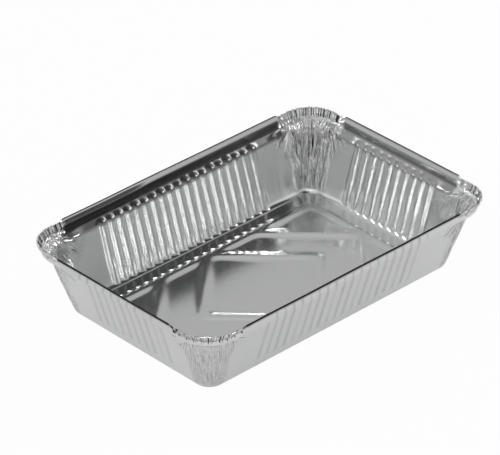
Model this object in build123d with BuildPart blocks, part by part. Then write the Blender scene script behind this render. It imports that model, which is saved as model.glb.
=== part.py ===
"""Deep rectangular food tray pressed from one sheet of aluminium foil.

The tray stands on the XY plane with its origin under the middle of the floor.
Its long side runs along X and its mouth opens towards +Z. The sheet is drawn
into a floor with pressed panels, four leaning walls stiffened by upright
flutes, a sloping shoulder, a narrow ledge, an upright lip, and a flange that
turns outwards at the lip's top and is hemmed along its four straight sides.
"""

from build123d import *
from math import hypot, radians, tan
import os

# Overall sizes, in millimetres
length = 320.0            # over the lip, along X
width = 215.0             # over the lip, along Y
height = 67.0             # from the table to the lip's top edge
gauge = 0.12              # thickness of the foil

# Side of the tray, seen in section, from the foot up
wall_lean = 17.2          # how far the wall leans out from upright, in degrees
shoulder_spread = 4.2
shoulder_rise = 4.0
ledge_width = 2.5
ledge_rise = 1.0
lip_height = 5.5          # upright part of the rim
flange_spread = 3.0
flange_rise = 4.5
hem_depth = 4.4           # foil folded back down outside the flange
hem_end_gap = 43.0        # from the end of a hem to the corner of the rim's box

# Corner radii in plan, and the rounded foot in section
foot_radius = 13.0
wall_radius_growth = 8.4  # from the foot to the top of the wall
foot_fillet = 6.0

# Flutes, pressed into the walls from outside
flute_pitch = 9.2
flutes_on_long_wall = 19
flutes_on_short_wall = 10
flute_width = 8.2
flute_depth = 1.5
flute_overrun = 3.4       # how far a flute runs up over the shoulder

# Floor: a border, a raised field inside it, and panels pressed back down
border_width = 15.0       # from the foot's sharp corner to the middle of the step
field_radius = 13.0
field_rise = 1.3
step_width = 3.0          # the field's sloping edge, in plan
panel_drop = 1.1
bevel_width = 4.8         # a panel's sloping edge, in plan
diamond_reach = 59.0      # from the centre to a corner of the diamond
chevron_inner = 70.0      # where a chevron's edges would cross the X axis
chevron_outer = 109.0
corner_inner = 121.0      # where a corner panel's long edge would cross the X axis
panel_half_width = 59.0   # of the chevrons and corner panels, along Y
corner_half_length = 113.0
diamond_corner = 12.0     # radii of the panels' corners
panel_corner = 4.0


def offset_corner(before, corner, after, distance):
    """Move a corner of the section to the inner face of the foil.

    Points are (outward, up) pairs. The two legs move left of their direction.
    """
    legs = [(corner[0] - before[0], corner[1] - before[1]),
            (after[0] - corner[0], after[1] - corner[1])]
    normals = [(-run_up / hypot(run_out, run_up), run_out / hypot(run_out, run_up))
               for run_out, run_up in legs]
    (n1_out, n1_up), (n2_out, n2_up) = normals
    scale = distance / (1 + n1_out * n2_out + n1_up * n2_up)
    return corner[0] + scale * (n1_out + n2_out), corner[1] + scale * (n1_up + n2_up)


# Section of the foil's outer face, as (distance out from the foot, height)
wall_height = height - shoulder_rise - ledge_rise - lip_height - flange_rise
wall_spread = wall_height * tan(radians(wall_lean))
steps = [(wall_spread, wall_height), (shoulder_spread, shoulder_rise), (ledge_width, ledge_rise),
         (0.0, lip_height), (flange_spread, flange_rise), (flange_spread, flange_rise)]
outer_section = [(0.0, 0.0)]
for step_out, step_up in steps:
    outer_section.append((outer_section[-1][0] + step_out, outer_section[-1][1] + step_up))
rim_spread = outer_section[5][0]
section_spread = rim_spread + gauge       # the hem stands one gauge further out

table_end = (-1.0, 0.0)
beyond_end = (outer_section[6][0] + flange_spread, outer_section[6][1] + flange_rise)
around = [table_end] + outer_section + [beyond_end]
inner_section = [offset_corner(*around[place:place + 3], gauge) for place in range(7)]

foot_half_length = length / 2 - section_spread
foot_half_width = width / 2 - section_spread
top_radius = foot_radius + wall_radius_growth
outer_radii = [foot_radius] + [top_radius + point[0] - wall_spread for point in outer_section[1:]]


def drawn_form(section, radii, fillet_radius):
    """Solid block with the tray's leaning sides, as filled by one face of the foil."""
    with BuildPart() as form:
        for (outward, level), radius in zip(section, radii):
            with BuildSketch(Plane.XY.offset(level)):
                RectangleRounded(2 * (foot_half_length + outward),
                                 2 * (foot_half_width + outward), radius)
        loft(ruled=True)
        floor_face = form.faces().sort_by(Axis.Z)[0]
        fillet(floor_face.edges(), fillet_radius)
    return form.part


def flute_places(count):
    """Distances of the flutes from the middle of their wall."""
    return [(index - (count - 1) / 2) * flute_pitch for index in range(count)]


lean_length = hypot(wall_spread, wall_height)
lean_out, lean_up = wall_spread / lean_length, wall_height / lean_length
flute_radius = (flute_width ** 2 / 4 + flute_depth ** 2) / (2 * flute_depth)
flute_setback = flute_radius - flute_depth     # of its axis from the wall's outer face
flute_low = -0.1                               # along the lean, as shares of it
flute_high = 1 + (flute_overrun - flute_radius) / lean_length


def flute_bars(radius):
    """Round-ended bars that press the flutes in, one for every flute."""
    bars = []
    walls = [(foot_half_width, flutes_on_long_wall, 0), (foot_half_length, flutes_on_short_wall, 90)]
    for half_size, count, turn in walls:
        ends = [(-half_size - share * wall_spread - flute_setback * lean_up,
                 share * wall_height - flute_setback * lean_out)
                for share in (flute_low, flute_high)]
        (low_y, low_z), (high_y, high_z) = ends
        bar_plane = Plane((0, low_y, low_z), x_dir=(1, 0, 0), z_dir=(0, high_y - low_y, high_z - low_z))
        with BuildPart() as bar:
            with BuildSketch(bar_plane):
                Circle(radius)
            extrude(amount=hypot(high_y - low_y, high_z - low_z))
            with Locations((0, high_y, high_z)):
                Sphere(radius)
        for side in (0, 180):
            for place in flute_places(count):
                bars.append(Rot(0, 0, turn + side) * Pos(place, 0, 0) * bar.part)
    return bars


def panel_outlines():
    """Corner points of every pressed panel, at the middle of its sloping edge."""
    diamond = [(diamond_reach, 0), (0, diamond_reach), (-diamond_reach, 0), (0, -diamond_reach)]
    chevron = [(chevron_inner, 0),
               (chevron_inner - panel_half_width, panel_half_width),
               (chevron_outer - panel_half_width, panel_half_width),
               (chevron_outer, 0),
               (chevron_outer - panel_half_width, -panel_half_width),
               (chevron_inner - panel_half_width, -panel_half_width)]
    corner = [(corner_inner - panel_half_width, panel_half_width),
              (corner_half_length, panel_half_width),
              (corner_half_length, corner_inner - corner_half_length)]
    panels = [(diamond, diamond_corner)]
    for side in (1, -1):
        panels.append(([(side * x, y) for x, y in chevron], panel_corner))
        for end in (1, -1):
            panels.append(([(side * x, end * y) for x, y in corner], panel_corner))
    return panels


def panel_form(points, corner_radius, lift):
    """Shallow dish of one panel, wider at its top, raised by lift."""
    low = field_rise - panel_drop + lift
    with BuildPart() as dish:
        for level, growth in ((low, -bevel_width / 2), (low + panel_drop, bevel_width / 2)):
            with BuildSketch(Plane.XY.offset(level)) as outline:
                Polygon(*points, align=None)
                offset(amount=growth, kind=Kind.INTERSECTION, mode=Mode.REPLACE)
                fillet(outline.vertices(), corner_radius)
        loft(ruled=True)
        top = dish.faces().sort_by(Axis.Z)[-1]
        extrude(top, amount=field_rise, dir=(0, 0, 1))
    return dish.part


def floor_relief(lift):
    """Space under the raised field, with its panels left out, raised by lift."""
    half_length = foot_half_length - border_width
    half_width = foot_half_width - border_width
    with BuildPart() as relief:
        for level in (-field_rise, field_rise):
            spread = step_width * (0.5 - level / field_rise)
            with BuildSketch(Plane.XY.offset(level + lift)):
                RectangleRounded(2 * (half_length + spread), 2 * (half_width + spread),
                                 field_radius + spread)
        loft(ruled=True)
        for points, corner_radius in panel_outlines():
            add(panel_form(points, corner_radius, lift), mode=Mode.SUBTRACT)
    return relief.part


def pressed_form(section, radii, fillet_radius, flute_size, lift):
    """One face of the foil as a solid: the drawn form with its floor and flutes pressed in."""
    with BuildPart() as form:
        add(drawn_form(section, radii, fillet_radius))
        add(floor_relief(lift), mode=Mode.SUBTRACT)
        add(flute_bars(flute_size), mode=Mode.SUBTRACT)
    return form.part


outer_form = pressed_form(outer_section, outer_radii, foot_fillet, flute_radius, 0)
inner_radii = [radius + inner[0] - outer[0]
               for radius, inner, outer in zip(outer_radii, inner_section, outer_section)]
inner_form = pressed_form(inner_section, inner_radii, foot_fillet - gauge,
                          flute_radius + gauge, gauge)

# Section of a hem, standing out from the flange's outer face along +Y
flange_slope = flange_spread / flange_rise
flange_half_width = width / 2 - gauge
hem_section = [(flange_half_width - flange_slope * hem_depth - gauge / 2, height - hem_depth),
               (flange_half_width - flange_slope * hem_depth + gauge, height - hem_depth),
               (flange_half_width + gauge, height),
               (flange_half_width - gauge / 2, height)]


def hems():
    """The four folded-down strips, one on each straight side of the flange."""
    strips = []
    for run, shift, turn in ((length, 0, 0), (width, (length - width) / 2, 90)):
        half_run = run / 2 - hem_end_gap
        with BuildPart() as strip:
            with BuildSketch(Plane.YZ.offset(-half_run)):
                Polygon(*[(out + shift, level) for out, level in hem_section], align=None)
            extrude(amount=2 * half_run)
        strips += [Rot(0, 0, turn + side) * strip.part for side in (0, 180)]
    return strips


with BuildPart() as tray:
    add(outer_form)
    add(hems())
    add(inner_form, mode=Mode.SUBTRACT)
    split(bisect_by=Plane.XY.offset(height), keep=Keep.BOTTOM)

tray.part.label = "tray"
os.makedirs("parts", exist_ok=True)
export_step(tray.part, "parts/tray.step")
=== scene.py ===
"""Looks of a deep food tray pressed from one sheet of aluminium foil.

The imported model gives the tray's box. One sheet of foil stands for its node: a
fine mesh with the pressed floor, the fluted walls, the crumpled wall
corners, the shoulder and ledge, and the lip with its flange, its hems and its
crimped corners. Lengths are in metres. The long side runs along X and the
mouth opens towards +Z.
"""

import logging
import math
import random
from dataclasses import dataclass, field
from enum import Enum

import bmesh
import bpy
from mathutils import Matrix, Vector, noise


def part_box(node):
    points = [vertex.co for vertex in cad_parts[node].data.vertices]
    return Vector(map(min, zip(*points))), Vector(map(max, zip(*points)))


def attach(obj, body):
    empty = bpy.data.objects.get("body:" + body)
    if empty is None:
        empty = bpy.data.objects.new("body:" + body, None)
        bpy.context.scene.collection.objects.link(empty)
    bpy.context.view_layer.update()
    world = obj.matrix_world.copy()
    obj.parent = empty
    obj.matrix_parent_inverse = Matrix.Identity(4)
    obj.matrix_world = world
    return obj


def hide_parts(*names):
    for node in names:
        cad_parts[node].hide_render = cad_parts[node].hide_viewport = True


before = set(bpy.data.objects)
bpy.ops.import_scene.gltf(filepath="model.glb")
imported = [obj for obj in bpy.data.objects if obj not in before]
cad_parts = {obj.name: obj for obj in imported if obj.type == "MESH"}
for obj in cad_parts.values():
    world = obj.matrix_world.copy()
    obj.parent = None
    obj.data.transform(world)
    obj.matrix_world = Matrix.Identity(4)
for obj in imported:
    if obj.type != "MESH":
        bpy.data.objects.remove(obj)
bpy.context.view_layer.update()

MM = 0.001
LOG = logging.getLogger("tray")


# ---------------------------------------------------------------- arithmetic

def smooth_step(value: float, low: float, high: float) -> float:
    """Ease a value from 0 at low to 1 at high.

    Args:
        value: The value to ease.
        low: Where the result leaves 0.
        high: Where the result reaches 1.

    Returns:
        A share from 0 to 1.
    """
    share = min(1.0, max(0.0, (value - low) / (high - low)))
    return share * share * (3.0 - 2.0 * share)


def soft_ramp(value: float, width: float) -> float:
    """Climb from 0 to 1 across a width round 0, straight but for its rounded ends.

    Args:
        value: The value to follow.
        width: Width of the climb.

    Returns:
        A share from 0 to 1.
    """
    share = value / width + 0.5
    low = blended_max(share, 0.0, 0.3)
    return -blended_max(-low, -1.0, 0.3)


def blended_max(first: float, second: float, reach: float) -> float:
    """Larger of two values, rounded off where they are within reach of each other.

    Args:
        first: One value.
        second: The other value.
        reach: Difference below which the two blend.

    Returns:
        The rounded larger value.
    """
    overlap = max(reach - abs(first - second), 0.0) / reach
    return max(first, second) + overlap * overlap * reach / 4.0


def ridges(across: float, along: float, seed: float) -> float:
    """Creased noise, from 0 in its folds' valleys to 1 on their crests.

    Args:
        across: Position across the folds, in fold widths.
        along: Position along the folds, in fold lengths.
        seed: Which pattern of folds.

    Returns:
        Height of the creased surface.
    """
    return 1.0 - min(1.0, 2.2 * abs(noise.noise(Vector((across, along, seed)))))


# ------------------------------------------------------------------- section

class Part(Enum):
    """Part of the tray that a row of the sheet belongs to."""

    FOOT = "foot"
    WALL = "wall"
    SHOULDER = "shoulder"
    LEDGE = "ledge"
    LIP = "lip"
    FLANGE = "flange"
    BEAD = "bead"
    HEM = "hem"


# Where the rows of each part lie, as shares of its climb, or round the bead in degrees
FOOT_SHARES = (0.0, 0.28, 0.52, 0.76, 1.0)
WALL_ROWS = 14
RIM_SHARES = {Part.SHOULDER: (0.14, 0.34, 0.56, 0.78, 1.0), Part.LEDGE: (0.5, 1.0),
              Part.LIP: (0.3, 0.65, 1.0), Part.FLANGE: (0.35, 0.7, 1.0), Part.HEM: (0.3, 1.0)}
BEAD_TURNS = (150.0, 90.0, 30.0)

# Painted shade: share by which each part's inner face is darkened towards black, in place of the
# dark room that a real tray mirrors there
PAINTED_DIM_REFLECTION = {Part.WALL: 0.6, Part.SHOULDER: 0.75, Part.LEDGE: 0.75, Part.LIP: 0.85}
# Share of that painted shade on the short sides, and painted shade on the floor's step that
# darkens its bright reflections
SHORT_SIDE_DIM_REFLECTION = 0.6
FLOOR_STEP_DIM_REFLECTION = {"long": 0.85, "short": 0.45}


@dataclass(frozen=True)
class Row:
    """One level line of the sheet round the tray.

    Attributes:
        part: The part that the row belongs to.
        outward: Distance out from the foot's sharp corner.
        level: Height above the table.
        sharp: Whether the foil is folded hard along it.
    """

    part: Part
    outward: float
    level: float
    sharp: bool = False


@dataclass
class Section:
    """Section of the tray's side, from the flat border of the floor to the hem.

    Attributes:
        height: From the table to the middle of the foil along the rim's top edge.
        wall_lean: How far the wall leans out from upright, in degrees.
        shoulder_spread: Width of the shoulder above the wall, in plan.
        shoulder_rise: Height of the shoulder.
        ledge_width: Width of the narrow ledge.
        ledge_rise: How far the ledge climbs across its width.
        lip_height: Height of the upright lip.
        flange_spread: How far the flange leans out, with its bead.
        flange_rise: Height of the flange, with its bead.
        hem_depth: Height of the foil that is folded back down outside the flange.
        bead_size: Outer size of the hem's rolled top edge.
        foot_fillet: Radius between floor and wall.
        foot_radius: Radius of the corners in plan, at the foot.
        radius_growth: How much that radius grows from the foot to the wall's top.
    """

    height: float
    wall_lean: float = 17.2
    shoulder_spread: float = 4.2 * MM
    shoulder_rise: float = 4.0 * MM
    ledge_width: float = 2.5 * MM
    ledge_rise: float = 1.0 * MM
    lip_height: float = 5.5 * MM
    flange_spread: float = 3.0 * MM
    flange_rise: float = 4.5 * MM
    hem_depth: float = 4.4 * MM
    bead_size: float = 1.0 * MM
    foot_fillet: float = 6.0 * MM
    foot_radius: float = 13.0 * MM
    radius_growth: float = 8.4 * MM

    @property
    def wall_height(self) -> float:
        """Height of the fold between wall and shoulder."""
        return self.root_level - self.ledge_rise - self.shoulder_rise

    @property
    def root_level(self) -> float:
        """Height of the fold between ledge and lip."""
        return self.flange_level - self.lip_height

    @property
    def flange_level(self) -> float:
        """Height of the fold between lip and flange."""
        return self.height - self.flange_rise

    @property
    def wall_spread(self) -> float:
        """Distance out from the foot's corner to the wall's top."""
        return self.wall_height * math.tan(math.radians(self.wall_lean))

    @property
    def root_outward(self) -> float:
        """Distance out from the foot's corner to the lip."""
        return self.wall_spread + self.shoulder_spread + self.ledge_width

    @property
    def edge_outward(self) -> float:
        """Distance out from the foot's corner to the outermost point of the hem."""
        return self.root_outward + self.flange_spread

    def corner_radius(self, outward: float) -> float:
        """Radius of the tray's corners in plan on one level line.

        Args:
            outward: Distance of the line out from the foot's sharp corner.

        Returns:
            The corner radius there.
        """
        if outward <= 0.0:
            return self.foot_radius + outward
        if outward <= self.wall_spread:
            return self.foot_radius + outward * self.radius_growth / self.wall_spread
        return self.foot_radius + self.radius_growth + outward - self.wall_spread

    def foot_rows(self) -> list[Row]:
        """Rows of the rounded foot, from the flat border to the wall."""
        lean = math.radians(self.wall_lean)
        centre_out = self.foot_fillet * (math.tan(lean) - 1.0 / math.cos(lean))
        rows = []
        for share in FOOT_SHARES:
            turn = share * (math.pi / 2.0 - lean)
            rows.append(Row(Part.FOOT, centre_out + self.foot_fillet * math.sin(turn),
                            self.foot_fillet * (1.0 - math.cos(turn))))
        return rows

    def wall_rows(self) -> list[Row]:
        """Rows of the leaning wall, closer together towards its top."""
        low = self.foot_rows()[-1].level
        rows = []
        for index in range(1, WALL_ROWS + 1):
            share = 1.0 - (1.0 - index / WALL_ROWS) ** 1.5
            level = low + share * (self.wall_height - low)
            rows.append(Row(Part.WALL, self.wall_spread * level / self.wall_height, level))
        return rows

    def rim_rows(self) -> list[Row]:
        """Rows of the shoulder, ledge, lip, flange, bead and hem."""
        runs = ((Part.SHOULDER, self.shoulder_spread, self.shoulder_rise),
                (Part.LEDGE, self.ledge_width, self.ledge_rise),
                (Part.LIP, 0.0, self.lip_height),
                (Part.FLANGE, self.flange_spread - self.bead_size,
                 self.flange_rise - self.bead_size))
        rows = []
        outward, level = self.wall_spread, self.wall_height
        for part, spread, rise in runs:
            rows += [Row(part, outward + share * spread, level + share * rise,
                         share == 1.0 and part is not Part.FLANGE) for share in RIM_SHARES[part]]
            outward, level = outward + spread, level + rise
        centre = (self.edge_outward - 0.5 * self.bead_size, self.height - 0.5 * self.bead_size)
        for turn in BEAD_TURNS:
            angle = math.radians(turn)
            rows.append(Row(Part.BEAD, centre[0] + 0.5 * self.bead_size * math.cos(angle),
                            centre[1] + 0.5 * self.bead_size * math.sin(angle)))
        slope = self.flange_spread / self.flange_rise
        for share in RIM_SHARES[Part.HEM]:
            drop = share * self.hem_depth
            rows.append(Row(Part.HEM, self.edge_outward - slope * (drop - self.bead_size),
                            self.height - drop))
        return rows

    def rows(self) -> list[Row]:
        """Every row of the sheet outside the floor, in order."""
        return self.foot_rows() + self.wall_rows() + self.rim_rows()


# ------------------------------------------------------------------ stations

@dataclass(frozen=True)
class Station:
    """One place round the tray, the same on every level line.

    Attributes:
        quarter: Which side or corner, from 0 to 3, turning left from the -Y side.
        corner: Whether the place is on a corner's arc.
        along: On a side, signed distance from its middle; on a corner, the share of its arc.
        slack: On a side, the share of the way from along to the corner's start.
    """

    quarter: int
    corner: bool
    along: float
    slack: float = 0.0

    @property
    def parallel_to_long(self) -> bool:
        """Whether the place's side is a long one, or the side that its corner follows is."""
        return self.quarter % 2 == 0

    @property
    def fluted(self) -> bool:
        """Whether the place is in the fluted stretch of a side."""
        return not self.corner and self.slack == 0.0


@dataclass
class Flutes:
    """Upright flutes pressed into the walls from outside, as round-ended bars would.

    Attributes:
        pitch: Distance from one flute to the next.
        width: Width of a flute.
        depth: Depth of a flute.
        overrun: How far a flute runs up over the shoulder.
        end_steepness: How much steeper a flute's end is than a ball's.
        long_count: Number of flutes on a long wall.
        short_count: Number of flutes on a short wall.
        sway: How far a flute strays sideways.
        unevenness: Share by which the flutes' depths differ.
    """

    pitch: float = 9.2 * MM
    width: float = 8.6 * MM
    depth: float = 1.5 * MM
    overrun: float = 3.4 * MM
    end_steepness: float = 2.2
    long_count: int = 19
    short_count: int = 10
    sway: float = 0.22 * MM
    unevenness: float = 0.1

    @property
    def radius(self) -> float:
        """Radius of a flute in level section."""
        return (self.width ** 2 / 4.0 + self.depth ** 2) / (2.0 * self.depth)

    def count(self, long_side: bool) -> int:
        """Number of flutes on one wall."""
        return self.long_count if long_side else self.short_count

    def half_zone(self, long_side: bool) -> float:
        """Distance from a wall's middle to the end of its row of flutes."""
        return self.count(long_side) * self.pitch / 2.0

    def relief(self, along: float, row: Row, quarter: int, section: Section) -> float:
        """How far the sheet is pressed in at one point of a wall or shoulder.

        Args:
            along: Distance from the wall's middle.
            row: Level line of the point.
            quarter: Which wall.
            section: Section of the tray's side.

        Returns:
            Inward distance from the plain sheet.
        """
        count = self.count(quarter % 2 == 0)
        slot = along / self.pitch + (count - 1) / 2.0
        index = min(count - 1, max(0, round(slot)))
        wobble = noise.noise(Vector((index * 1.7, quarter * 5.1, 0.5)))
        sway = self.sway * noise.noise(
            Vector((index * 2.3, quarter * 3.7, row.level / (26.0 * MM))))
        aside = (slot - index) * self.pitch + sway
        lean = math.radians(section.wall_lean)
        wall_out = row.level * math.tan(lean)
        end_level = section.wall_height + (
            self.overrun + 0.9 * MM * wobble - self.radius / self.end_steepness) * math.cos(lean)
        above = max(0.0, row.level - end_level) * self.end_steepness
        space = self.radius ** 2 - aside ** 2 - above ** 2
        if space <= 0.0:
            return 0.0
        depth = self.depth * (1.0 + self.unevenness * wobble)
        bar_out = wall_out + (self.radius - depth) / math.cos(lean) - math.sqrt(space)
        pressed = blended_max(0.0, row.outward - bar_out, 0.35 * MM)
        return pressed * smooth_step(row.level, 0.5 * MM, 2.6 * MM)


@dataclass(frozen=True)
class Around:
    """Where a place is, measured round the rim from the nearest corner.

    Attributes:
        corner: Which corner, from 0 to 3.
        run: Distance round the rim from the start of the corner's arc.
        arc: Length of that arc.
    """

    corner: int
    run: float
    arc: float

    @property
    def beyond(self) -> float:
        """Distance outside the arc, along the straight rim, or 0 on the arc."""
        return max(0.0, -self.run, self.run - self.arc)


@dataclass
class Crumple:
    """Wrinkles of the wall corners, pleats of the rim corners and slow unevenness.

    Attributes:
        fold_width: Width of a wall corner's folds.
        fold_length: Length of those folds.
        fold_depth: Depth of those folds.
        pleat_depth: Depth of the rim corners' pleats.
        pleat_widths: Least and greatest width of a pleat, in millimetres.
        crimp_reach: How far the crimps run on past the corner's arc.
        droop: How far the crimped rim hangs below the hemmed one.
        flare: How far the middle of a crimped corner stands out.
        vigour: How strongly each corner is crumpled.
        seed: Which pattern of pleats.
        pleats: Edges of the pleats, in metres round each corner.
    """

    fold_width: float = 1.9 * MM
    fold_length: float = 34.0 * MM
    fold_depth: float = 1.35 * MM
    pleat_depth: float = 1.7 * MM
    pleat_widths: tuple[float, float] = (1.5, 3.1)
    crimp_reach: float = 11.5 * MM
    droop: float = 1.3 * MM
    flare: float = 1.4 * MM
    vigour: tuple[float, float, float, float] = (1.0, 1.3, 1.0, 0.55)
    seed: int = 11
    pleats: dict[int, list[float]] = field(default_factory=dict)

    def __post_init__(self) -> None:
        """Draw the edges of the pleats once for each corner."""
        draw = random.Random(self.seed)
        for corner in range(4):
            edges = [-self.crimp_reach - 2.0 * MM]
            while edges[-1] < 80.0 * MM:
                edges.append(edges[-1] + draw.uniform(*self.pleat_widths) * MM)
            self.pleats[corner] = edges

    def wall_relief(self, around: Around, level: float, top: float) -> float:
        """Folds of a wall corner and of the plain wall beside it.

        Args:
            around: Where the place is.
            level: Height above the table.
            top: Height of the wall's top.

        Returns:
            Distance inward from the smooth wall.
        """
        seed = 10.0 * around.corner + 2.5
        run = around.run * 0.72
        sway = 1.3 * MM * noise.noise(Vector((run / (9.0 * MM), level / (16.0 * MM), seed)))
        fold = ridges((run + sway) / self.fold_width, level / self.fold_length, seed)
        rise = 0.4 + 0.6 * smooth_step(level, 2.0 * MM, top)
        fade = smooth_step(level, 1.0 * MM, 7.0 * MM)
        side = 1.0 - smooth_step(around.beyond, 0.0, 9.0 * MM)
        return fade * side * self.fold_depth * rise * (fold - 0.45) * self.vigour[around.corner]

    def crimp(self, around: Around) -> float:
        """How far the rim is crimped instead of hemmed, from 0 to 1."""
        return 1.0 - smooth_step(around.beyond, self.crimp_reach - 0.8 * MM, self.crimp_reach)

    def pleat(self, around: Around) -> float:
        """Inward share of the pleats, from 0 on their crests to 1 in their folds."""
        edges = self.pleats[around.corner]
        for index in range(len(edges) - 1):
            if around.run <= edges[index + 1]:
                phase = (around.run - edges[index]) / (edges[index + 1] - edges[index])
                peak = 0.25 + 0.5 * ((index * 7) % 5) / 5.0
                rise = phase / peak if phase < peak else (1.0 - phase) / (1.0 - peak)
                return rise * (0.6 + 0.4 * ((index * 5) % 7) / 6.0)
        return 0.0

    @staticmethod
    def sag(x: float, y: float, level: float) -> float:
        """Slow unevenness of thin foil, in metres."""
        return 0.34 * MM * noise.noise(
            Vector((x / (31.0 * MM), y / (31.0 * MM), level / (38.0 * MM))))


# --------------------------------------------------------------------- floor

@dataclass
class FloorRelief:
    """Raised field of the floor and the panels pressed back down into it.

    Attributes:
        half_length: Half the length of the field, to the middle of its step.
        half_width: Half the width of the field.
        radius: Radius of the field's corners.
        field_rise: Height of the field above the border.
        step_width: Width of the step up to the field.
        panel_drop: How far the panels are pressed back down.
        bevel_width: Width of a panel's sloping edge.
        diamond_reach: From the centre to a corner of the diamond.
        chevron_inner: Where a chevron's inner edges would cross the X axis.
        chevron_outer: Where its outer edges would cross the X axis.
        corner_inner: Where a corner panel's long edge would cross the X axis.
        panel_half_width: Half the width of the chevrons and corner panels.
        corner_half_length: From the centre to the corner panels' ends.
        diamond_rounding: Reach of the rounding at the diamond's corners.
        panel_rounding: Reach of the rounding at the other panels' corners.
    """

    half_length: float
    half_width: float
    radius: float = 13.0 * MM
    field_rise: float = 1.3 * MM
    step_width: float = 3.0 * MM
    panel_drop: float = 1.1 * MM
    bevel_width: float = 4.8 * MM
    diamond_reach: float = 59.0 * MM
    chevron_inner: float = 70.0 * MM
    chevron_outer: float = 109.0 * MM
    corner_inner: float = 121.0 * MM
    panel_half_width: float = 59.0 * MM
    corner_half_length: float = 113.0 * MM
    diamond_rounding: float = 11.0 * MM
    panel_rounding: float = 4.5 * MM

    def panel_distance(self, x: float, y: float) -> float:
        """Distance outside the nearest panel's edge, negative inside the panel."""
        x, y = abs(x), abs(y)
        near = blended_max(x + y, x - y, self.diamond_rounding)
        diamond = blended_max(near, y - x, self.diamond_rounding) - self.diamond_reach
        chevron = blended_max(self.chevron_inner - near, near - self.chevron_outer,
                              self.panel_rounding) / math.sqrt(2.0)
        chevron = blended_max(chevron, y - self.panel_half_width, self.panel_rounding)
        corner = blended_max((self.corner_inner - x - y) / math.sqrt(2.0),
                             y - self.panel_half_width, self.panel_rounding)
        corner = blended_max(corner, x - self.corner_half_length, self.panel_rounding)
        return min(diamond / math.sqrt(2.0), chevron, corner)

    def field_share(self, x: float, y: float) -> float:
        """How far a point is up the step from the border to the field, from 0 to 1."""
        over_x = abs(x) - (self.half_length - self.radius)
        over_y = abs(y) - (self.half_width - self.radius)
        outside = math.hypot(max(over_x, 0.0), max(over_y, 0.0)) + min(max(over_x, over_y), 0.0)
        return smooth_step(self.radius - outside, -self.step_width / 2, self.step_width / 2)

    def height(self, x: float, y: float) -> float:
        """Height of the floor above its border at one point."""
        panel_share = soft_ramp(-self.panel_distance(x, y), self.bevel_width)
        return self.field_rise * self.field_share(x, y) - self.panel_drop * panel_share


# --------------------------------------------------------------------- sheet

@dataclass(frozen=True)
class SheetLayers:
    """Layers of the sheet's mesh that the foil's finish reads, with its painted shade and
    highlight.

    Attributes:
        flow: Distance round from a corner's middle, height, and the corner's own number.
        folds: Strength of the fine folds of a wall corner, and of their painted shade and
            highlight.
        crimp: Strength of the crimped rim, and of its painted highlight.
        painted_pleat_shade: Depth in the rim's tight folds, where painted shade darkens them.
        edge: Strength of the painted shade along a hem's turned edge.
        painted_dim_reflection: Painted shade on the rim's inner parts and on the floor's step.
        painted_groove_shade: Depth in a flute, seen from outside, where painted shade darkens it.
    """

    flow: bmesh.types.BMLayerItem
    folds: bmesh.types.BMLayerItem
    crimp: bmesh.types.BMLayerItem
    painted_pleat_shade: bmesh.types.BMLayerItem
    edge: bmesh.types.BMLayerItem
    painted_dim_reflection: bmesh.types.BMLayerItem
    painted_groove_shade: bmesh.types.BMLayerItem

    @classmethod
    def new(cls, mesh: bmesh.types.BMesh) -> "SheetLayers":
        """Make the layers on a mesh."""
        layers = mesh.verts.layers
        return cls(layers.float_vector.new("flow"), layers.float.new("folds"),
                   layers.float.new("crimp"), layers.float.new("painted_pleat_shade"),
                   layers.float.new("edge"), layers.float.new("painted_dim_reflection"),
                   layers.float.new("painted_groove_shade"))


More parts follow.
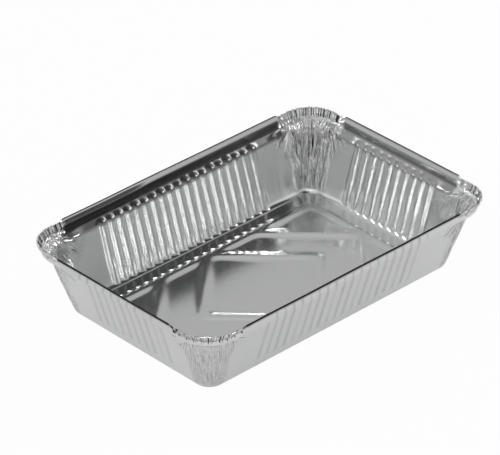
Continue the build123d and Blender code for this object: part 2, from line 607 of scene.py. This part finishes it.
@dataclass
class FoilSheet:
    """The tray's one sheet of foil, from the middle of its floor to its hem.

    Attributes:
        half_length: Half the tray's length over the hem.
        half_width: Half its width over the hem.
        height: Its height.
        gauge: Thickness of the foil.
        floor_cell: Size of a cell of the floor's grid.
        border_margin: From the foot's sharp corner in to the edge of that grid.
        field_inset: From the foot's sharp corner in to the middle of the field's step.
        plain_steps: Steps of the mesh on each plain end of a long side and of a short one.
        flute_steps: Steps of the mesh across one flute.
        corner_steps: Steps of the mesh round a corner.
        section: Section of the tray's side.
        flutes: Flutes of the walls.
        crumple: Wrinkles and pleats.
        floor: Relief of the floor.
    """

    half_length: float
    half_width: float
    height: float
    gauge: float = 0.12 * MM
    floor_cell: float = 2.15 * MM
    border_margin: float = 9.0 * MM
    field_inset: float = 15.0 * MM
    plain_steps: dict[bool, int] = field(default_factory=lambda: {True: 20, False: 14})
    flute_steps: int = 9
    corner_steps: int = 104
    section: Section = field(init=False)
    flutes: Flutes = field(default_factory=Flutes)
    crumple: Crumple = field(default_factory=Crumple)
    floor: FloorRelief = field(init=False)

    def __post_init__(self) -> None:
        """Work out the section and the floor's field from the tray's box."""
        self.section = Section(self.height - self.gauge)
        self.floor = FloorRelief(self.foot_half(True) - self.field_inset,
                                 self.foot_half(False) - self.field_inset)

    def foot_half(self, long_axis: bool) -> float:
        """Half the length or width at the foot's sharp corner."""
        half = self.half_length if long_axis else self.half_width
        return half - self.section.edge_outward - self.gauge / 2.0

    def stations(self) -> list[Station]:
        """Places round the tray, starting at the -Y side's left end."""
        places = []
        for quarter in range(4):
            long_side = quarter % 2 == 0
            zone = self.flutes.half_zone(long_side)
            plain = self.plain_steps[long_side]
            fluted = self.flutes.count(long_side) * self.flute_steps
            places += [Station(quarter, False, -zone, 1.0 - (step / plain) ** 1.6)
                       for step in range(plain)]
            places += [Station(quarter, False, -zone + step * 2.0 * zone / fluted)
                       for step in range(fluted)]
            places += [Station(quarter, False, zone, 1.0 - (1.0 - step / plain) ** 1.6)
                       for step in range(plain)]
            places += [Station(quarter, True, step / self.corner_steps)
                       for step in range(self.corner_steps)]
        return places

    def place(self, station: Station, row: Row) -> Vector:
        """Point of the sheet at one place and level, with its relief.

        Args:
            station: Place round the tray.
            row: Level line.

        Returns:
            The point, in the tray's frame.
        """
        radius = self.section.corner_radius(row.outward)
        long_side = station.parallel_to_long
        half_run = self.foot_half(long_side) + row.outward
        half_out = self.foot_half(not long_side) + row.outward
        turn = station.quarter * math.pi / 2.0
        if station.corner:
            angle = turn - math.pi / 2.0 + station.along * math.pi / 2.0
            normal = Vector((math.cos(angle), math.sin(angle), 0.0))
            run = Vector((-normal.y, normal.x, 0.0))
            start = Vector((math.cos(turn), math.sin(turn), 0.0)) * (half_run - radius)
            point = start + Vector((math.sin(turn), -math.cos(turn), 0.0)) * (half_out - radius)
            point += normal * radius
        else:
            run = Vector((math.cos(turn), math.sin(turn), 0.0))
            normal = Vector((run.y, -run.x, 0.0))
            straight = half_run - radius
            along = station.along + math.copysign(station.slack, station.along) * (
                straight - abs(station.along))
            point = run * along + normal * half_out
        point.z = row.level
        return self.shaped(point, normal, station, row)

    def around(self, station: Station) -> Around:
        """Where a place is, measured round the rim from its nearest corner."""
        radius = self.section.corner_radius(self.section.edge_outward)
        arc = radius * math.pi / 2.0
        if station.corner:
            return Around(station.quarter, station.along * arc, arc)
        straight = self.foot_half(station.parallel_to_long) + self.section.edge_outward - radius
        beyond = (straight - abs(station.along)) * (1.0 - station.slack)
        if station.along >= 0.0:
            return Around(station.quarter, -beyond, arc)
        return Around((station.quarter + 3) % 4, arc + beyond, arc)

    def shaped(self, point: Vector, normal: Vector, station: Station, row: Row) -> Vector:
        """Add the flutes, wrinkles and pleats to a point of the plain sheet.

        Args:
            point: Point of the plain sheet.
            normal: Level direction out of the tray there.
            station: Place round the tray.
            row: Level line.

        Returns:
            The finished point.
        """
        section = self.section
        around = self.around(station)
        half_zone = self.flutes.half_zone(station.parallel_to_long)
        inward = 0.0
        lift = 0.0
        if row.part in (Part.FOOT, Part.WALL, Part.SHOULDER):
            if station.fluted and abs(station.along) < half_zone:
                inward = self.flutes.relief(station.along, row, station.quarter, section)
            else:
                inward = self.crumple.wall_relief(around, row.level, section.wall_height)
                inward *= 1.0 - smooth_step(row.level, section.wall_height,
                                            section.wall_height + section.shoulder_rise)
            fade = smooth_step(row.level, 1.0 * MM, 8.0 * MM)
            fade *= 1.0 - smooth_step(
                row.level, section.wall_height - 8.0 * MM, section.wall_height)
            inward += fade * self.crumple.sag(point.x, point.y, point.z)
        else:
            inward, lift = self.rim_relief(around, station, row, point)
        moved = point - normal * inward
        moved.z += lift
        return moved

    @staticmethod
    def slump(station: Station, point: Vector) -> float:
        """Share by which the +Y flange lies flatter, towards its -X end."""
        if station.quarter != 2 or station.corner:
            return 0.0
        return 1.0 - smooth_step(point.x, -48.0 * MM, -18.0 * MM)

    def rim_relief(self, around: Around, station: Station, row: Row,
                   point: Vector) -> tuple[float, float]:
        """Pleats, droop and waviness of the rim at one place.

        Args:
            around: Where the place is.
            station: Place round the tray.
            row: Level line of the ledge, lip, flange, bead or hem.
            point: Point of the plain sheet.

        Returns:
            Distance inward and distance up.
        """
        section, crumple = self.section, self.crumple
        crimp = crumple.crimp(around)
        rise = smooth_step(row.level, section.root_level - 0.5 * MM, section.root_level + 6.0 * MM)
        ragged = noise.noise(Vector((around.run / (2.1 * MM), around.corner * 3.0, 1.0)))
        share = min(1.0, max(0.0, around.run / around.arc))
        vigour = min(1.0, crumple.vigour[around.corner])
        flare = crumple.flare * (2.0 * vigour - 1.0) * math.sin(math.pi * share) * station.corner
        pleat = crumple.pleat_depth * crumple.pleat(around) * vigour
        inward = crimp * rise * (pleat + 0.3 * MM - flare)
        wave = noise.noise(point / (52.0 * MM))
        fold = 1.0 - smooth_step(abs(row.level - section.flange_level), 0.0, 4.0 * MM)
        slump = self.slump(station, point)
        inward += (1.0 - crimp) * (rise * 0.45 * MM * (0.5 + wave) + 1.1 * MM * slump * fold)
        lift = -crimp * rise * (crumple.droop + 1.1 * MM * max(-0.8, ragged))
        return max(0.0, inward) if not station.corner else inward, lift

    def build_floor(self, mesh: bmesh.types.BMesh,
                    layers: SheetLayers) -> list[bmesh.types.BMEdge]:
        """Make the floor's grid with its relief.

        Args:
            mesh: Mesh that gets the floor.
            layers: Layers of the mesh that hold notes for the finish and its painted shade.

        Returns:
            The grid's outer edges.
        """
        half_x = self.foot_half(True) - self.border_margin
        half_y = self.foot_half(False) - self.border_margin
        columns = round(2.0 * half_x / self.floor_cell)
        lines = round(2.0 * half_y / self.floor_cell)
        bmesh.ops.create_grid(mesh, x_segments=columns, y_segments=lines, size=1.0)
        radius = self.section.foot_radius - self.border_margin + 12.0 * MM
        for vert in mesh.verts:
            x, y = vert.co.x * half_x, vert.co.y * half_y
            over_x = (abs(x) - (half_x - radius)) / radius
            over_y = (abs(y) - (half_y - radius)) / radius
            if over_x > 0.0 and over_y > 0.0:
                round_x = over_x * math.sqrt(1.0 - over_y * over_y / 2.0)
                round_y = over_y * math.sqrt(1.0 - over_x * over_x / 2.0)
                x = math.copysign(half_x - radius + radius * round_x, x)
                y = math.copysign(half_y - radius + radius * round_y, y)
            sag = 0.3 * self.crumple.sag(x, y, 0.0)
            vert.co = Vector((x, y, self.gauge / 2.0 + self.floor.height(x, y)
                              + sag * smooth_step(self.floor.height(x, y), 0.0, 0.3 * MM)))
            # Painted shade on the floor's step, stronger on its long sides, darkens the step's
            # bright reflections
            share = self.floor.field_share(x, y)
            side = "long" if abs(y) / self.half_width > abs(x) / self.half_length else "short"
            vert[layers.painted_dim_reflection] = FLOOR_STEP_DIM_REFLECTION[side] * smooth_step(
                share * (1.0 - share), 0.0, 0.1)
        return [edge for edge in mesh.edges if edge.is_boundary]

    def mark(self, vert: bmesh.types.BMVert, layers: SheetLayers, station: Station,
             row: Row) -> None:
        """Note on one vertex where it lies, for the foil's finish and its painted shade and
        highlight.

        Args:
            vert: The vertex.
            layers: Layers of the mesh that hold the notes.
            station: Place round the tray.
            row: Level line.
        """
        around = self.around(station)
        crimp = self.crumple.crimp(around)
        on_rim = row.part in (Part.LEDGE, Part.LIP, Part.FLANGE, Part.BEAD, Part.HEM)
        vert[layers.flow] = Vector((around.run - around.arc / 2.0, row.level, 7.0 * around.corner))
        wall_end = 1.0 - smooth_step(around.beyond, 0.0, 8.0 * MM)
        wall_end *= (not on_rim) * self.crumple.vigour[around.corner]
        vert[layers.folds] = wall_end * smooth_step(row.level, 1.0 * MM, 9.0 * MM)
        vert[layers.crimp] = crimp * on_rim
        # Painted shade in the crimped rim's pleats, darkest deep in their folds
        vert[layers.painted_pleat_shade] = crimp * on_rim * self.crumple.pleat(around) * smooth_step(
            row.level, self.section.root_level - 1.0 * MM, self.section.root_level + 4.0 * MM)
        # Painted shade on the inner wall top, shoulder, ledge and lip, in place of a mirrored dark
        # room; lighter on the short sides and none on crimped corners
        painted_dimming = PAINTED_DIM_REFLECTION.get(row.part, 0.0) * (1.0 - crimp)
        painted_dimming *= smooth_step(
            row.level, self.section.wall_height - 2.4 * MM, self.section.wall_height)
        vert[layers.painted_dim_reflection] = painted_dimming * (1.0 if station.parallel_to_long else SHORT_SIDE_DIM_REFLECTION)
        # Flute depth, for the painted shade in the flutes' bottoms
        if row.part is Part.WALL and station.fluted:
            pressed = self.flutes.relief(station.along, row, station.quarter, self.section)
            vert[layers.painted_groove_shade] = pressed / self.flutes.depth
        # Painted shade: a dark line along the hemmed rim's turned top edge
        turned = row.part in (Part.BEAD, Part.HEM)
        vert[layers.edge] = (1.0 - crimp) * turned * (1.0 - smooth_step(
            self.section.height - row.level, 1.0 * MM, 1.9 * MM))

    @staticmethod
    def grow(mesh: bmesh.types.BMesh, edges: list[bmesh.types.BMEdge],
             verts: list[bmesh.types.BMVert]) -> tuple[list, list]:
        """Extrude the sheet's open outer edge by one row.

        Args:
            mesh: Mesh of the sheet.
            edges: Edges of its outermost row.
            verts: Vertices of that row, in the stations' order.

        Returns:
            The new row's edges, and its vertices in the same order.
        """
        grown = bmesh.ops.extrude_edge_only(mesh, edges=edges)
        fresh = {item for item in grown["geom"] if isinstance(item, bmesh.types.BMVert)}
        outer = [item for item in grown["geom"] if isinstance(item, bmesh.types.BMEdge)
                 and all(vert in fresh for vert in item.verts)]
        above = {vert: edge.other_vert(vert) for vert in verts for edge in vert.link_edges
                 if edge.other_vert(vert) in fresh}
        return outer, [above[vert] for vert in verts]

    def build(self) -> bpy.types.Object:
        """Make the whole sheet, with the foil's thickness added, as one closed piece."""
        mesh = bmesh.new()
        layers = SheetLayers.new(mesh)
        inner_edge = self.build_floor(mesh, layers)
        stations = self.stations()
        ring = bmesh.ops.create_circle(mesh, cap_ends=False, radius=1.0, segments=len(stations))
        ring_verts = list(ring["verts"])
        rows = self.section.rows()
        base = Vector((0.0, 0.0, self.gauge / 2.0))
        for vert, station in zip(ring_verts, stations):
            vert.co = self.place(station, rows[0]) + base
        ring_edges = list(dict.fromkeys(edge for vert in ring_verts for edge in vert.link_edges))
        bmesh.ops.bridge_loops(mesh, edges=inner_edge + ring_edges)
        edges, verts = ring_edges, ring_verts
        for row in rows[1:]:
            edges, verts = self.grow(mesh, edges, verts)
            for edge in edges:
                edge.smooth = not row.sharp
            for vert, station in zip(verts, stations):
                vert.co = self.place(station, row) + base
                self.mark(vert, layers, station, row)
        bmesh.ops.recalc_face_normals(mesh, faces=mesh.faces)
        for face in mesh.faces:
            face.smooth = True
        data = bpy.data.meshes.new("foil_sheet")
        mesh.to_mesh(data)
        mesh.free()
        piece = bpy.data.objects.new("foil_sheet", data)
        bpy.context.collection.objects.link(piece)
        shell = piece.modifiers.new("gauge", "SOLIDIFY")
        shell.thickness = self.gauge
        shell.offset = 0.0
        shell.material_offset = 1
        return piece


# ------------------------------------------------------------------- shaders

class Wire:
    """A shader socket that can be used in arithmetic."""

    def __init__(self, graph: "Graph", socket: bpy.types.NodeSocket) -> None:
        """Wrap one output socket of a graph."""
        self.graph = graph
        self.socket = socket

    def _join(self, operation: str, first: "Wire | float", second: "Wire | float") -> "Wire":
        """Combine two values with a Math node."""
        return self.graph.node("ShaderNodeMath", {"operation": operation}, {0: first, 1: second})

    def __add__(self, other: "Wire | float") -> "Wire":
        """Sum."""
        return self._join("ADD", self, other)

    def __sub__(self, other: "Wire | float") -> "Wire":
        """Difference."""
        return self._join("SUBTRACT", self, other)

    def __rsub__(self, other: float) -> "Wire":
        """Difference from a number."""
        return self._join("SUBTRACT", other, self)

    def __mul__(self, other: "Wire | float") -> "Wire":
        """Product."""
        return self._join("MULTIPLY", self, other)

    __radd__ = __add__
    __rmul__ = __mul__

    def size(self) -> "Wire":
        """The value without its sign."""
        return self.graph.node("ShaderNodeMath", {"operation": "ABSOLUTE"}, {0: self})

    def clear_of(self, low: float, high: float) -> "Wire":
        """Ease from 1 at low to 0 at high."""
        return 1.0 - self.ramp(low, high)

    def ramp(self, low: float, high: float) -> "Wire":
        """Ease from 0 at low to 1 at high."""
        return self.graph.node("ShaderNodeMapRange", {"interpolation_type": "SMOOTHSTEP"},
                               {"Value": self, "From Min": low, "From Max": high})


class Graph:
    """Node tree of one material or of the world."""

    def __init__(self, tree: bpy.types.NodeTree) -> None:
        """Start from an empty tree."""
        self.tree = tree
        tree.nodes.clear()

    def make(self, kind: str, settings: dict, inputs: dict) -> bpy.types.Node:
        """Make a node, with its settings first and then its inputs.

        Args:
            kind: Type of node.
            settings: Properties of the node.
            inputs: Values or wires by socket name or number.

        Returns:
            The node.
        """
        made = self.tree.nodes.new(kind)
        for name, value in settings.items():
            setattr(made, name, value)
        for key, value in inputs.items():
            if isinstance(value, Wire):
                self.tree.links.new(value.socket, made.inputs[key])
            else:
                made.inputs[key].default_value = value
        return made

    def node(self, kind: str, settings: dict | None = None, inputs: dict | None = None,
             output: str | int = 0) -> Wire:
        """Make a node and return one of its outputs."""
        made = self.make(kind, settings or {}, inputs or {})
        return Wire(self, made.outputs[output])

    def noise(self, place: Wire, scale: float, detail: float) -> Wire:
        """Soft noise read at a place."""
        return self.node("ShaderNodeTexNoise", {},
                         {"Vector": place, "Scale": scale, "Detail": detail, "Roughness": 0.5})

    def mixed_colour(self, share: Wire, first: Wire | tuple[float, float, float],
                     second: tuple[float, float, float]) -> Wire:
        """Colour between two others, by a share that may vary."""
        start = first if isinstance(first, Wire) else (*first, 1.0)
        return self.node("ShaderNodeMix", {"data_type": "RGBA"},
                         {"Factor": share, 6: start, 7: (*second, 1.0)}, 2)

    def stacked_bump(self, layers: tuple[tuple[Wire, float], ...]) -> Wire:
        """Normal of several reliefs laid one on another.

        Args:
            layers: Height, from 0 to 1, and depth of each relief.

        Returns:
            The normal.
        """
        relief = {}
        for height, depth in layers:
            inputs = {"Height": height, "Distance": depth, "Strength": 1.0, **relief}
            relief = {"Normal": self.node("ShaderNodeBump", {}, inputs)}
        return relief["Normal"]


@dataclass(frozen=True)
class RolledFoil:
    """One side of rolled aluminium foil, thin enough to take every touch, with painted shade and
    highlight in its colour.

    Attributes:
        name: Name of the finish.
        tint: Colour of the metal.
        painted_highlight_tint: Colour of the painted highlight on the crests of folds and on the
            crimped rim.
        painted_shade_tint: Colour of all the painted shade: the dark line along a hem's turned
            edge, the rim's pleats, the darkened rim and floor step, the flutes' bottoms and the
            folds' valleys.
        roughness: Blur of its reflections.
        grain_depth: Depth of the rolling grain.
        dimple_depth: Depth of the small unevenness between the folds.
        fold_depth: Depth of the fine folds in a wall corner.
        dent_depth: Depth of the dents that fan out from a rim corner.
        crimp_depth: Depth of the crushed facets in a crimped rim corner.
        painted_dim_reflection: How much of the painted shade on the rim and the floor's step shows
            on this side.
        painted_groove_shade: Strength of the painted shade in the bottom of a flute.
        fan_run: From a corner's middle to where its dents fan out, round the rim.
        fan_level: Height from which the dents fan out.
    """

    name: str = "foil_inside"
    tint: tuple[float, float, float] = (0.775, 0.785, 0.78)
    painted_highlight_tint: tuple[float, float, float] = (0.97, 0.975, 0.97)
    painted_shade_tint: tuple[float, float, float] = (0.02, 0.02, 0.02)
    roughness: float = 0.15
    grain_depth: float = 0.02 * MM
    dimple_depth: float = 0.05 * MM
    fold_depth: float = 1.2 * MM
    dent_depth: float = 1.7 * MM
    crimp_depth: float = 0.8 * MM
    painted_dim_reflection: float = 1.0
    painted_groove_shade: float = 0.0
    fan_run: float = 25.0 * MM
    fan_level: float = 57.0 * MM

    @staticmethod
    def creased(graph: Graph, place: Wire, detail: float) -> Wire:
        """Noise folded into sharp crests, from 0 to 1.

        Args:
            graph: Node tree of the finish.
            place: Where the noise is read.
            detail: How many finer layers it has.

        Returns:
            The height of the folds.
        """
        return 1.0 - (graph.noise(place, 1.0, detail) - 0.5).size() * 4.0

    def folds(self, graph: Graph, run: Wire, level: Wire, seed: Wire) -> Wire:
        """Fine upright folds of a wall corner."""
        place = graph.node("ShaderNodeCombineXYZ", {}, {0: run * 560.0, 1: level * 42.0, 2: seed})
        fleck = graph.node("ShaderNodeCombineXYZ", {},
                           {0: run * 900.0, 1: level * 190.0, 2: seed + 3.0})
        return self.creased(graph, place, 2.0) + self.creased(graph, fleck, 1.0) * 0.45

    def dents(self, graph: Graph, run: Wire, level: Wire, seed: Wire) -> Wire:
        """Dents that fan out from the two ends of a crimped rim corner."""
        across = run.size() - self.fan_run
        below = self.fan_level - level
        angle = graph.node("ShaderNodeMath", {"operation": "ARCTAN2"}, {0: below, 1: across})
        reach = graph.node("ShaderNodeVectorMath", {"operation": "LENGTH"}, {
            0: graph.node("ShaderNodeCombineXYZ", {}, {0: across, 1: below})}, "Value")
        side = graph.node("ShaderNodeMath", {"operation": "SIGN"}, {0: run})
        place = graph.node("ShaderNodeCombineXYZ", {}, {0: angle * 3.4, 1: reach * 34.0,
                                                        2: seed + side * 1.7})
        fade = reach.ramp(0.5 * MM, 5.0 * MM) * reach.clear_of(11.0 * MM, 29.0 * MM)
        outer = across.ramp(-4.0 * MM, 2.0 * MM) * level.clear_of(self.fan_level - 4.0 * MM,
                                                                  self.fan_level - 0.5 * MM)
        return self.creased(graph, place, 1.0) * fade * outer

    def dress(self, piece: bpy.types.Object) -> None:
        """Give the foil to a piece."""
        material = bpy.data.materials.new(self.name)
        material.use_nodes = True
        graph = Graph(material.node_tree)
        place = graph.node("ShaderNodeTexCoord", {}, {}, "Object")
        flow = graph.make("ShaderNodeSeparateXYZ", {}, {
            "Vector": graph.node("ShaderNodeAttribute", {"attribute_name": "flow"}, {}, "Vector")})
        run, level, seed = (Wire(graph, flow.outputs[index]) for index in range(3))
        folded, crimped, painted_pleat_shading, edge, painted_dim_reflection, painted_groove_shade = (
            graph.node("ShaderNodeAttribute", {"attribute_name": name}, {}, "Fac")
            for name in ("folds", "crimp", "painted_pleat_shade", "edge", "painted_dim_reflection", "painted_groove_shade"))
        rolled = graph.node("ShaderNodeMapping", {},
                            {"Vector": place, "Scale": (60.0, 900.0, 900.0)})
        grain = graph.noise(rolled, 1.0, 3.0)
        folds = self.folds(graph, run, level, seed)
        relief = graph.stacked_bump((
            (graph.noise(place, 130.0, 2.0), self.dimple_depth), (grain, self.grain_depth),
            (folds * folded, self.fold_depth),
            (self.dents(graph, run, level, seed), self.dent_depth),
            (graph.noise(place, 620.0, 1.0) * crimped, self.crimp_depth)))
        # Painted shade, darkening the colour towards black: the hems' turned edges, the rim's
        # pleats, the inner rim and floor step, the flutes' bottoms and the wall corners' fold
        # valleys
        painted_shade = (edge.ramp(0.3, 0.75) + painted_pleat_shading.ramp(0.4, 0.7) * 0.96 + painted_dim_reflection * self.painted_dim_reflection
                 + painted_groove_shade.ramp(0.6, 1.0) * self.painted_groove_shade
                 + folds.clear_of(0.1, 0.85) * folded * 0.85)
        # Painted highlight, lightening the colour on the wall corners' fold crests and over the
        # crimped rim corners
        painted_highlight = folds.ramp(0.75, 1.25) * folded + crimped * 0.6
        metal = graph.mixed_colour(painted_highlight, self.tint, self.painted_highlight_tint)
        colour = graph.mixed_colour(painted_shade, metal, self.painted_shade_tint)
        cloud = graph.noise(place, 28.0, 2.0)
        rough = self.roughness + 0.08 * (grain - 0.5) + 0.06 * (cloud - 0.5) + painted_shade * 0.2
        shader = graph.node("ShaderNodeBsdfPrincipled", {},
                            {"Base Color": colour, "Metallic": 1.0,
                             "Roughness": rough, "Normal": relief})
        graph.make("ShaderNodeOutputMaterial", {}, {"Surface": shader})
        piece.data.materials.append(material)


# --------------------------------------------------------------------- stage

@dataclass(frozen=True)
class SoftBox:
    """One rectangular lamp aimed at the tray.

    Attributes:
        name: Name of the lamp.
        place: Where it stands.
        size: Its width and height.
        power: Its power in watts.
    """

    name: str
    place: tuple[float, float, float]
    size: tuple[float, float]
    power: float

    def hang(self) -> None:
        """Make the lamp."""
        data = bpy.data.lights.new(self.name, "AREA")
        data.shape = "RECTANGLE"
        data.size, data.size_y = self.size
        data.energy = self.power
        lamp = bpy.data.objects.new(self.name, data)
        lamp.location = self.place
        lamp.rotation_euler = Vector(self.place).to_track_quat("Z", "Y").to_euler()
        bpy.context.collection.objects.link(lamp)


@dataclass
class Studio:
    """Pale floor, soft light and the camera.

    Attributes:
        azimuth: Direction of the camera from the tray's front, in degrees.
        elevation: Height of the camera above level, in degrees.
        roll: Turn of the camera about its own line of sight, in radians.
        aside: How far the line of sight passes to the left of the tray's origin.
        below: How far it passes below that origin, or above it where negative.
        distance: From the camera to the tray's origin.
        lens: Focal length in millimetres.
        floor_size: Half the width of the floor.
        floor_seen: Share of plain white glow in the floor that the camera sees. The rest is lit
            by the lamps and takes the tray's shadow.
        floor_mirrored: The same share in the floor that the foil mirrors.
        dark_way: Direction of the dark part of the surroundings, high on the camera's right.
        dark_edge: Where the dark part begins and is complete, along that direction.
        bright_way: Direction of the bright part, above and behind the camera.
        bright_edge: Where the bright part begins and is complete.
        overhead_edge: Where the part overhead begins and is complete, by height.
        pale: Brightness of the surroundings.
        dim: Brightness of their dark part.
        bright: What the bright part adds.
        overhead: What the part overhead adds.
        boxes: The lamps.
    """

    azimuth: float = -43.38
    elevation: float = 31.89
    roll: float = -0.003
    aside: float = 9.25 * MM
    below: float = -47.69 * MM
    distance: float = 3221.8 * MM
    lens: float = 288.0
    floor_size: float = 6.0
    floor_seen: float = 0.97
    floor_mirrored: float = 0.24
    dark_way: tuple[float, float, float] = (0.473, -0.447, 1.0)
    dark_edge: tuple[float, float] = (0.97, 1.06)
    bright_way: tuple[float, float, float] = (-0.45, -0.47, 0.76)
    bright_edge: tuple[float, float] = (0.86, 0.97)
    overhead_edge: tuple[float, float] = (0.72, 0.86)
    pale: float = 0.51
    dim: float = 0.05
    bright: float = 0.5
    overhead: float = 0.13
    boxes: tuple[SoftBox, ...] = (SoftBox("key", (-0.95, 1.45, 1.1), (0.26, 0.42), 4.6),
                                  SoftBox("fill", (1.55, -0.5, 1.05), (0.35, 0.6), 9.0))

    def camera_axes(self) -> tuple[Vector, Vector, Vector]:
        """Directions to the camera's back, right and up, before its roll."""
        turn, tilt = math.radians(self.azimuth), math.radians(self.elevation)
        back = Vector((math.sin(turn) * math.cos(tilt), -math.cos(turn) * math.cos(tilt),
                       math.sin(tilt)))
        right = Vector((math.cos(turn), math.sin(turn), 0.0))
        return back, right, back.cross(right)

    def set_camera(self) -> None:
        """Make the camera at its viewing angle."""
        back, right, up = self.camera_axes()
        cos, sin = math.cos(self.roll), math.sin(self.roll)
        right, up = cos * right + sin * up, cos * up - sin * right
        data = bpy.data.cameras.new("camera")
        data.lens = self.lens
        data.sensor_width = 36.0
        data.clip_end = 50.0
        camera = bpy.data.objects.new("camera", data)
        eye = back * self.distance - right * self.aside - up * self.below
        turn = Matrix((right, up, back)).transposed().to_4x4()
        camera.matrix_world = Matrix.Translation(eye) @ turn
        bpy.context.collection.objects.link(camera)
        bpy.context.scene.camera = camera

    def lay_floor(self) -> None:
        """Make the pale floor, which keeps a faint shadow of the tray."""
        mesh = bmesh.new()
        bmesh.ops.create_grid(mesh, x_segments=1, y_segments=1, size=self.floor_size)
        data = bpy.data.meshes.new("floor")
        mesh.to_mesh(data)
        mesh.free()
        floor = bpy.data.objects.new("floor", data)
        floor.location.z = -0.3 * MM
        bpy.context.collection.objects.link(floor)
        material = bpy.data.materials.new("pale_floor")
        material.use_nodes = True
        graph = Graph(material.node_tree)
        paths = graph.make("ShaderNodeLightPath", {}, {})
        seen = Wire(graph, paths.outputs["Is Camera Ray"]) * self.floor_seen
        mirrored = Wire(graph, paths.outputs["Is Glossy Ray"]) * self.floor_mirrored
        plain = graph.node("ShaderNodeBsdfDiffuse", {}, {"Color": (0.8, 0.8, 0.8, 1.0)})
        glow = graph.node("ShaderNodeEmission", {},
                          {"Color": (1.0, 1.0, 1.0, 1.0), "Strength": 1.0})
        mixed = graph.node("ShaderNodeMixShader", {}, {0: seen + mirrored, 1: plain, 2: glow})
        graph.make("ShaderNodeOutputMaterial", {}, {"Surface": mixed})
        floor.data.materials.append(material)

    def light(self) -> None:
        """Make the surroundings, pale but dark high on one side, and the soft boxes."""
        world = bpy.data.worlds.new("studio")
        bpy.context.scene.world = world
        world.use_nodes = True
        graph = Graph(world.node_tree)
        direction = graph.node("ShaderNodeTexCoord", {}, {}, "Generated")
        dark, front, top = (
            graph.node("ShaderNodeVectorMath", {"operation": "DOT_PRODUCT"},
                       {0: direction, 1: way}, "Value").ramp(*edge)
            for way, edge in ((self.dark_way, self.dark_edge), (self.bright_way, self.bright_edge),
                              ((0.0, 0.0, 1.0), self.overhead_edge)))
        sky = self.pale + top * self.overhead
        strength = sky + (self.dim - sky) * dark + front * self.bright
        glow = graph.node("ShaderNodeBackground", {}, {"Color": (1.0, 1.0, 1.0, 1.0),
                                                       "Strength": strength})
        graph.make("ShaderNodeOutputWorld", {}, {"Surface": glow})
        for box in self.boxes:
            box.hang()


# ---------------------------------------------------------------------- main

def main() -> None:
    """Build the studio and the tray."""
    logging.basicConfig(level=logging.INFO, format="%(message)s")
    low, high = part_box("tray")
    studio = Studio()
    studio.set_camera()
    studio.lay_floor()
    studio.light()
    bpy.context.scene.view_settings.view_transform = "Standard"
    sheet = FoilSheet((high[0] - low[0]) / 2.0, (high[1] - low[1]) / 2.0, high[2] - low[2])
    piece = sheet.build()
    # One foil on both faces: the outside's lighter tint is painted light on the outer walls. Only
    # the outside gets painted shade in its flutes' bottoms, and only the inside gets it on its rim
    # and floor step
    inside = RolledFoil()
    outside = RolledFoil("foil_outside", (0.88, 0.89, 0.885), painted_dim_reflection=0.0, painted_groove_shade=0.3)
    for finish in (inside, outside):
        finish.dress(piece)
    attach(piece, "root")
    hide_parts("tray")
    LOG.info("foil sheet: %d faces", len(piece.data.polygons))


if __name__ == "__main__":
    main()
